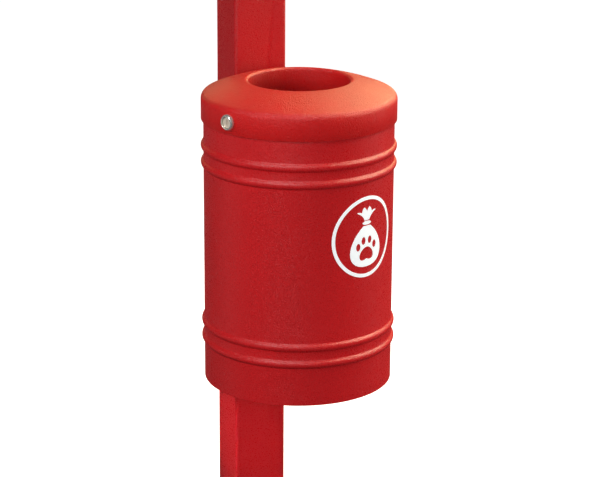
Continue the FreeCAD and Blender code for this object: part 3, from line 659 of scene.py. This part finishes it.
def makeHingeRivets(name, node, outer, wall, height, rider):
    side = hinge["rivetSpacing"] / 2
    seat = math.sqrt((outer + hinge["leaf"]) ** 2 - (side - hinge["rivetHead"]) ** 2)
    inside = math.sqrt((outer - wall) ** 2 - (side + hinge["rivetHead"]) ** 2)
    ball = (hinge["rivetHead"] ** 2 + hinge["rivetDome"] ** 2) / (2 * hinge["rivetDome"])
    sweep = math.degrees(math.asin(hinge["rivetHead"] / ball))
    tailEnd = inside - hinge["tailHeight"]
    edge = hinge["tailRound"]
    profile = [(0, tailEnd)] + arc(hinge["tail"] - edge, tailEnd + edge, edge, -90, 0, 3)
    profile += [(hinge["tail"], inside), (hinge["rivet"], inside), (hinge["rivet"], seat)]
    profile += arc(0, seat + hinge["rivetDome"] - ball, ball, 90 - sweep, 90, 8)
    values = {"First": (0, -side, height), "Step": (0, hinge["rivetSpacing"], 0), "Count": 2,
              "Row step": (0, 0, 0), "Rows": 1}
    source = sourceFrom(name + "One", profile, hinge["segments"])
    piece = makeSetOut(name, source, hingeSteel, values, onBin(hinge["angle"]))
    finishPiece(piece, hingeSteel, "hinge_steel", rider, node)


makeHingeRivets("bodyRivets", "hinge_body_rivets", body["radius"], body["wall"],
                hinge["bodyRivetHeight"], "root")
makeHingeRivets("lidRivets", "hinge_lid_rivets", lid["outer"], lid["wall"],
                hinge["lidRivetHeight"], "lid")
soften("hinge_body_leaf", 0.0004, hingePaint, "hinge_paint", "root")
soften("hinge_lid_leaf", 0.0004, hingePaint, "hinge_paint", "lid")
soften("hinge_pin", 0.0003, hingeSteel, "hinge_steel", "root")

mounting = {
    "seat": 0.1555, "end": 0.1955, "head": 0.0053, "flats": 0.013, "shank": 0.004, "pitch": 0.00125,
    "thread": 0.016, "threadDepth": 0.0006, "point": 0.001, "headChamfer": 0.0008, "faceShare": 0.90,
    "bolts": 0.036, "lower": 0.160, "upper": 0.321, "sleeve": 0.008, "sleeveBore": 0.0044,
    "sleeveEnd": 0.1755, "chamfer": 0.0004, "nutHole": 0.0055, "nutEnd": 0.1965, "bulgeHeight": 0.004,
    "postFace": 0.1785, "postWall": 0.003, "letIn": 0.0002, "shankSides": 28, "sleeveSides": 48,
    "nutSides": 40,
}


def boltMesh():
    # hexagon head with chamfered corners and a threaded shank, along X
    bm = bmesh.new()
    seat = mounting["seat"]
    face = seat - mounting["head"]
    corner = mounting["flats"] / math.sqrt(3)
    rings = []
    for x, scale in ((seat, 1.0), (face + mounting["headChamfer"], 1.0), (face, mounting["faceShare"])):
        rings.append([bm.verts.new((x, corner * scale * math.cos(math.radians(60 * i)),
                                    corner * scale * math.sin(math.radians(60 * i)))) for i in range(6)])
    for low, high in zip(rings, rings[1:]):
        for i in range(6):
            bm.faces.new((low[i], low[(i + 1) % 6], high[(i + 1) % 6], high[i]))
    bm.faces.new(rings[0])
    bm.faces.new(rings[-1])
    bmesh.ops.recalc_face_normals(bm, faces=bm.faces)
    bm.from_mesh(shankMesh())
    return meshFrom(bm, "boltOne", False)


def shankMesh():
    # ridged like a thread over its last part, plain before it, and just let into the head
    start = mounting["seat"] - mounting["letIn"]
    end = mounting["end"]
    radius = mounting["shank"]
    pitch = mounting["pitch"]
    threadStart = end - mounting["thread"]
    profile = [(0, start), (radius, start), (radius, threadStart)]
    turns = int((end - mounting["point"] - threadStart) / pitch)
    for i in range(turns):
        z = threadStart + pitch * i
        profile += [(radius - mounting["threadDepth"], z + pitch * 0.5), (radius, z + pitch)]
    profile += [(radius - mounting["point"], end), (0, end)]
    return sourceFrom("shankOne", profile, mounting["shankSides"])


def makeMountings():
    values = {"First": (0, 0, mounting["lower"] - mounting["bolts"] / 2), "Step": (0, 0, mounting["bolts"]),
              "Count": 2, "Row step": (0, 0, mounting["upper"] - mounting["lower"]), "Rows": 2}
    bolts = makeSetOut("saddleBolts", boltMesh(), zincPlate, values, onBin(180), 30.0)
    finishPiece(bolts, zincPlate, "fastener_zinc", "root", "mounting_bolts")

    bore, outer = mounting["sleeveBore"], mounting["sleeve"]
    start, end = body["radius"], mounting["sleeveEnd"]
    chamfer = mounting["chamfer"]
    sleeve = [(bore, start), (outer - chamfer, start), (outer, start + chamfer),
              (outer, end - chamfer), (outer - chamfer, end), (bore, end)]
    source = sourceFrom("sleeveOne", sleeve, mounting["sleeveSides"])
    sleeves = makeSetOut("spacerTubes", source, zincPlate, values, onBin(180))
    finishPiece(sleeves, zincPlate, "fastener_zinc", "root", "spacer_sleeves")

    thread, hole = mounting["shank"], mounting["nutHole"]
    face = mounting["postFace"]
    inside = face + mounting["postWall"]
    bulge = mounting["bulgeHeight"] / 2
    nut = [(thread, face), (hole, face), (hole, inside)]
    nut += arc(hole, inside + bulge, bulge, -90, 90, 8)
    nut += [(hole, mounting["nutEnd"]), (thread, mounting["nutEnd"])]
    source = sourceFrom("nutOne", nut, mounting["nutSides"])
    nuts = makeSetOut("rivetNuts", source, zincPlate, values, onBin(180))
    finishPiece(nuts, zincPlate, "fastener_zinc", "root", "rivet_nuts")


makeMountings()
soften("saddle_washers", 0.0003, zincPlate, "fastener_zinc", "root")
for bracket in ("upper_saddle_bracket", "lower_saddle_bracket"):
    soften(bracket, 0.0005, postPaint, "post_paint", "root")
print("hinge and fasteners done")


# Post and its foot.

postLow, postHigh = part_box("post")
post = {"side": postHigh.x - postLow.x, "corner": 0.006, "bottom": 0.010}
weld = {
    "leg": 0.0032, "pitch": 0.0017, "toe": 0.045, "toeGap": 0.002, "rise": 0.0004, "gussetHalf": 0.003,
    "gussetTop": 0.086, "seed": 7, "sizes": (0.88, 1.10), "flatness": 0.62, "sides": 8, "rings": 5,
}


def makeWeldTree(material):
    # overlapping ripples laid along the seam, each a little different
    tree, entry, sockets = newTree("weldRipples", [
        ("Pitch", "Float", weld["pitch"]), ("Leg", "Float", weld["leg"]), ("Seed", "Int", weld["seed"])])
    size = entry.outputs
    seam = addNode(tree, "GeometryNodeMeshToCurve", Mesh=size["Geometry"])
    even = addNode(tree, "GeometryNodeCurveToPoints", {"mode": "LENGTH"},
                   Curve=seam.outputs[0], Length=size["Pitch"])
    drop = addNode(tree, "GeometryNodeMeshUVSphere", Segments=weld["sides"], Rings=weld["rings"])
    tree.links.new(size["Leg"], drop.inputs["Radius"])
    vary = addNode(tree, "FunctionNodeRandomValue", {"data_type": "FLOAT"}, Seed=size["Seed"])
    floats = [s for s in vary.inputs if s.type == "VALUE" and s.enabled]
    floats[0].default_value, floats[1].default_value = weld["sizes"]
    value = [s for s in vary.outputs if s.enabled][0]
    flattened = calc(tree, "MULTIPLY", value, weld["flatness"])
    shape = addNode(tree, "ShaderNodeCombineXYZ", i0=value, i1=value, i2=flattened)
    ripples = addNode(tree, "GeometryNodeInstanceOnPoints", Points=even.outputs["Points"],
                      Instance=drop.outputs[0], Rotation=even.outputs["Rotation"], Scale=shape.outputs[0])
    endTree(tree, ripples.outputs[0], material)
    return tree, sockets


def weldPath():
    # one run per quarter: in along a gusset, round the post's corner and out along the next;
    # and one up each side of the gusset
    bm = bmesh.new()
    half = post["side"] / 2
    flat = half - post["corner"]
    near = weld["gussetHalf"]
    toe = half + weld["toe"] - weld["toeGap"]
    low = post["bottom"] + weld["rise"]
    turns = [math.radians(a) for a in range(0, 91, 15)]
    corner = [(flat + post["corner"] * math.cos(a), flat + post["corner"] * math.sin(a), low) for a in turns]

    def run(points, quarter):
        spots = [bm.verts.new(Matrix.Rotation(math.pi / 2 * quarter, 3, "Z") @ Vector(p)) for p in points]
        for a, b in zip(spots, spots[1:]):
            bm.edges.new((a, b))

    for quarter in range(4):
        run([(toe, near, low), (half, near, low)] + corner + [(near, half, low), (near, toe, low)], quarter)
        for side in (near, -near):
            run([(half, side, low), (half, side, weld["gussetTop"])], quarter)
    return meshFrom(bm, "weldPath", False)


def makeFootWelds():
    tree, sockets = makeWeldTree(postPaint)
    piece = grow("footWelds", weldPath(), tree, sockets,
                 {"Pitch": weld["pitch"], "Leg": weld["leg"], "Seed": weld["seed"]}, 180.0)
    finishPiece(piece, postPaint, "post_paint", "root")


soften("post", 0.0005, postPaint, "post_paint", "root")
soften("base_plate", 0.0008, postPaint, "post_paint", "root")
soften("base_gussets", 0.0006, postPaint, "post_paint", "root")
soften("post_cap", 0.0007, capPlastic, "cap_plastic", "root", 6.0, 3)
makeFootWelds()
print("post done")


# Liner and buffers.

soften("liner_bucket", 0.0003, linerZinc, "liner_galvanised", "liner")
bufferMesh = nodes["rim_buffers"].data
bufferMesh.materials.clear()
bufferMesh.materials.append(bufferRubber)
print("liner and buffers done")


# Sign: a ring with a tied waste bag and a paw print in it.

sign = {
    "angle": 22.5, "height": 0.281, "radius": 0.069, "band": 0.006, "film": 0.0004, "strip": 0.003,
    "crease": 40.0, "ringSteps": 160, "tieSteps": 40, "toeSteps": 32,
}


def acrossBody(length):
    # a length measured round the curve, as a width seen straight on
    return body["radius"] * math.sin(length / body["radius"])


def oval(halfRound, halfUp, y, z, steps):
    # half sizes round the body and up it, and its middle
    left = acrossBody(y - halfRound)
    right = acrossBody(y + halfRound)
    middle = acrossBody(y)
    return [(middle + (right - left) / 2 * math.cos(2 * math.pi * i / steps),
             z + halfUp * math.sin(2 * math.pi * i / steps)) for i in range(steps)]


def outline(rightHalf, steps=14):
    # mirrored runs in millimetres, from the bottom's middle to the top's:
    # two points are a line, four a Bezier curve
    leftHalf = [[(-y, z) for y, z in reversed(run)] for run in reversed(rightHalf)]
    points = []
    for run in rightHalf + leftHalf:
        poles = [Vector((acrossBody(y / 1000), z / 1000)) for y, z in run]
        if len(poles) == 2:
            points.append(tuple(poles[0]))
            continue
        for i in range(steps):
            t = i / steps
            w = ((1 - t) ** 3, 3 * t * (1 - t) ** 2, 3 * t * t * (1 - t), t ** 3)
            points.append(tuple(sum((p * k for p, k in zip(poles, w)), Vector((0, 0)))))
    return points


def filmPiece(name, loops, node):
    # loops filled with their holes open, cut in strips and laid round the body
    curve = bpy.data.curves.new(name, "CURVE")
    curve.dimensions = "2D"
    curve.fill_mode = "BOTH"
    for loop in loops:
        spline = curve.splines.new("POLY")
        spline.points.add(len(loop) - 1)
        for point, (y, z) in zip(spline.points, loop):
            point.co = (y, z, 0, 1)
        spline.use_cyclic_u = True
    flat = bpy.data.objects.new(name, curve)
    bpy.context.scene.collection.objects.link(flat)
    graph = bpy.context.evaluated_depsgraph_get()
    mesh = bpy.data.meshes.new_from_object(flat.evaluated_get(graph))
    bpy.data.objects.remove(flat)
    bm = bmesh.new()
    bm.from_mesh(mesh)
    bmesh.ops.remove_doubles(bm, verts=bm.verts, dist=welding["close"])
    reach = acrossBody(sign["radius"])
    cuts = int(2 * reach / sign["strip"])
    for i in range(1, cuts):
        x = -reach + 2 * reach * i / cuts
        geometry = bm.verts[:] + bm.edges[:] + bm.faces[:]
        bmesh.ops.bisect_plane(bm, geom=geometry, plane_co=(x, 0, 0), plane_no=(1, 0, 0),
                               dist=welding["close"])
    for v in bm.verts:
        a = math.asin(v.co.x / body["radius"])
        v.co = (body["radius"] * math.cos(a), body["radius"] * math.sin(a), sign["height"] + v.co.y)
    bmesh.ops.recalc_face_normals(bm, faces=bm.faces)
    for face in bm.faces:
        face.normal_update()
        if face.normal.dot(face.calc_center_median() * Vector((1, 1, 0))) < 0:
            face.normal_flip()
    piece = newPiece(name, meshFrom(bm, name, False), sign["crease"])
    skin = piece.modifiers.new("film", "SOLIDIFY")
    skin.thickness = sign["film"]
    skin.offset = 1.0
    applyModifiers(piece)
    piece.data.transform(onBin(sign["angle"]))
    piece.data.set_sharp_from_angle(angle=math.radians(sign["crease"]))
    finishPiece(piece, signVinyl, "emblem_vinyl", "root", node)


def makeSign():
    outer = sign["radius"]
    inner = outer - sign["band"]
    rounds = [oval(radius, radius, 0, 0, sign["ringSteps"]) for radius in (outer, inner)]
    filmPiece("signRing", rounds, "emblem_ring")
    sack = outline([[(0, -51), (50, -51), (41, -4), (8, 19)], [(8, 19), (0, 19)]])
    top = outline([[(0, 28.5), (5, 28.5)],
                   [(5, 28.5), (8, 36), (14, 40), (22, 43)],
                   [(22, 43), (17, 45), (14, 43), (11, 42)],
                   [(11, 42), (11, 45), (9, 49), (6, 51)],
                   [(6, 51), (3, 49), (1, 46), (0, 43)]])
    tie = oval(0.0095, 0.0032, 0, 0.024, sign["tieSteps"])
    pad = outline([[(0, -37), (6, -41), (16, -41), (16, -32)], [(16, -32), (16, -25), (7, -17), (0, -17)]])
    toes = [oval(0.0046, 0.0066, y / 1000, z / 1000, sign["toeSteps"])
            for y, z in ((-18.5, -15.5), (-7.2, -6.0), (7.2, -6.0), (18.5, -15.5))]
    filmPiece("signBag", [sack, tie, top, pad] + toes, "emblem_pictogram")


makeSign()
print("sign done")


# Floor, light and camera.

ground = {
    "reach": 30.0, "light": (0.90, 0.90, 0.90), "dark": (0.88, 0.88, 0.88), "patches": 3.0, "glow": 0.96,
}


def makeFloor():
    # a pale floor with plain walls of the same finish far behind it
    mesh = bpy.data.meshes.new("floor")
    reach = ground["reach"]
    low = [(-reach, -reach, 0), (reach, -reach, 0), (reach, reach, 0), (-reach, reach, 0)]
    high = [(x, y, reach) for x, y, z in low]
    walls = [(i, (i + 1) % 4, (i + 1) % 4 + 4, i + 4) for i in range(4)]
    mesh.from_pydata(low + high, [], [(0, 1, 2, 3)] + walls)
    floor = bpy.data.objects.new("floor", mesh)
    bpy.context.scene.collection.objects.link(floor)
    material, tree, shader, place = newFinish("floorPale")
    tone = blendColour(tree, grain(tree, place, ground["patches"], 3.0), ground["light"], ground["dark"])
    tree.links.new(tone, shader.inputs["Base Color"])
    shader.inputs["Roughness"].default_value = 0.9
    shader.inputs["Specular IOR Level"].default_value = 0.0
    shader.inputs["Emission Color"].default_value = (1.0, 1.0, 1.0, 1.0)
    shader.inputs["Emission Strength"].default_value = ground["glow"]
    material.cycles.emission_sampling = "NONE"
    mesh.materials.append(material)
    floor.visible_glossy = False  # the paint mirrors the lamps, not the floor
    floor.visible_diffuse = False
    floor.visible_shadow = False


white = (1.0, 1.0, 1.0)
warm = (1.0, 0.84, 0.42)
pale = (1.0, 0.88, 0.62)
peach = (1.0, 0.78, 0.66)
studio = {
    # azimuth and elevation of each lamp seen from the bin, its power and tint, and whether it fills or shines
    "sideRight": {"from": (75, 35), "power": 44, "tint": pale},
    "sideShine": {"from": (75, 37), "power": 74, "tint": pale, "fills": False},
    "backRight": {"from": (120, 40), "power": 60, "tint": warm},
    "edgeShine": {"from": (95, 12), "power": 12, "tint": peach, "fills": False},
    "mouthFill": {"from": (68, 54), "power": 14, "tint": white, "shines": False},
    "lowRight": {"from": (75, -8), "power": 46, "tint": white, "shines": False},
    "upLeft": {"from": (-65, 35), "power": 46, "tint": white, "shines": False},
    "midLeft": {"from": (-45, 12), "power": 26, "tint": white, "shines": False},
    "lowFront": {"from": (-5, 6), "power": 14, "tint": white, "shines": False},
    "rearLeft": {"from": (-165, -12), "power": 50, "tint": white, "shines": False},
    "footLeft": {"from": (-66, -4), "power": 0.18, "tint": white, "shines": False,
                 "reach": 2.0, "side": 0.15, "aim": -0.17, "beam": 12, "atPost": True},
    "domeShine": {"from": (134, 20), "power": 18, "tint": warm, "fills": False},
    "rearShine": {"from": (178, 18), "power": 5, "tint": warm, "fills": False},
    "lockRim": {"from": (-48, 50), "power": 60.0, "tint": white, "fills": False, "side": 1.4, "aim": 0.474},
    "lockFace": {"from": (-110, -17), "power": 1.6, "tint": white, "fills": False,
                 "reach": 2.5, "side": 0.6, "aim": 0.474},
}
usualLamp = {
    "side": 1.2, "reach": 3.0, "aim": 0.3, "beam": 180, "shines": True, "fills": True, "atPost": False,
}
airStrength = 0.05


def makeLights():
    for name, changes in studio.items():
        plan = {**usualLamp, **changes}
        data = bpy.data.lights.new(name, "AREA")
        data.shape = "SQUARE"
        data.size = plan["side"]
        data.energy = plan["power"]
        data.color = plan["tint"]
        data.spread = math.radians(plan["beam"])
        lamp = bpy.data.objects.new(name, data)
        target = binPlace + Vector((0, 0, plan["aim"]))
        if plan["atPost"]:
            target.y = 0.0
        a, e = (math.radians(angle) for angle in plan["from"])
        outward = Vector((math.sin(a) * math.cos(e), -math.cos(a) * math.cos(e), math.sin(e)))
        lamp.location = target + plan["reach"] * outward
        lamp.rotation_euler = (lamp.location - target).to_track_quat("Z", "Y").to_euler()
        lamp.visible_glossy = plan["shines"]
        lamp.visible_diffuse = plan["fills"]
        bpy.context.scene.collection.objects.link(lamp)
    world = bpy.data.worlds.new("studioAir")
    world.use_nodes = True
    air = world.node_tree.nodes["Background"]
    air.inputs["Color"].default_value = (1.0, 1.0, 1.0, 1.0)
    air.inputs["Strength"].default_value = airStrength
    bpy.context.scene.world = world


view = {
    # degrees of azimuth, metres from the bin's axis and over the body's bottom edge, radians of tilt,
    # and millimetres of lens
    "azimuth": -22.0, "distance": 3.5328, "height": 1.3353, "pitch": -0.3002, "yaw": 0.0008, "roll": 0.006,
    "lens": 130.66, "sensor": 36.0, "clip": 100.0,
}


def makeCamera():
    yaw = view["yaw"]
    pitch = view["pitch"]
    ahead = Vector((math.sin(yaw) * math.cos(pitch), math.cos(yaw) * math.cos(pitch), math.sin(pitch)))
    right = Vector((math.cos(yaw), -math.sin(yaw), 0))
    up = right.cross(ahead)
    rolledRight = right * math.cos(view["roll"]) + up * math.sin(view["roll"])
    rolledUp = up * math.cos(view["roll"]) - right * math.sin(view["roll"])
    turn = Matrix.Rotation(math.radians(view["azimuth"]), 3, "Z")
    ahead, rolledRight, rolledUp = turn @ ahead, turn @ rolledRight, turn @ rolledUp
    back = turn @ Vector((0, -view["distance"], 0))
    data = bpy.data.cameras.new("studioCamera")
    data.lens = view["lens"]
    data.sensor_width = view["sensor"]
    data.sensor_fit = "HORIZONTAL"
    data.clip_end = view["clip"]
    camera = bpy.data.objects.new("studioCamera", data)
    pose = Matrix((rolledRight, rolledUp, -ahead)).transposed().to_4x4()
    pose.translation = binPlace + back + Vector((0, 0, view["height"]))
    camera.matrix_world = pose
    bpy.context.scene.collection.objects.link(camera)
    bpy.context.scene.camera = camera


makeFloor()
makeLights()
makeCamera()
bpy.context.scene.view_settings.view_transform = "Standard"
bpy.context.scene.view_settings.look = "None"
print("studio done")
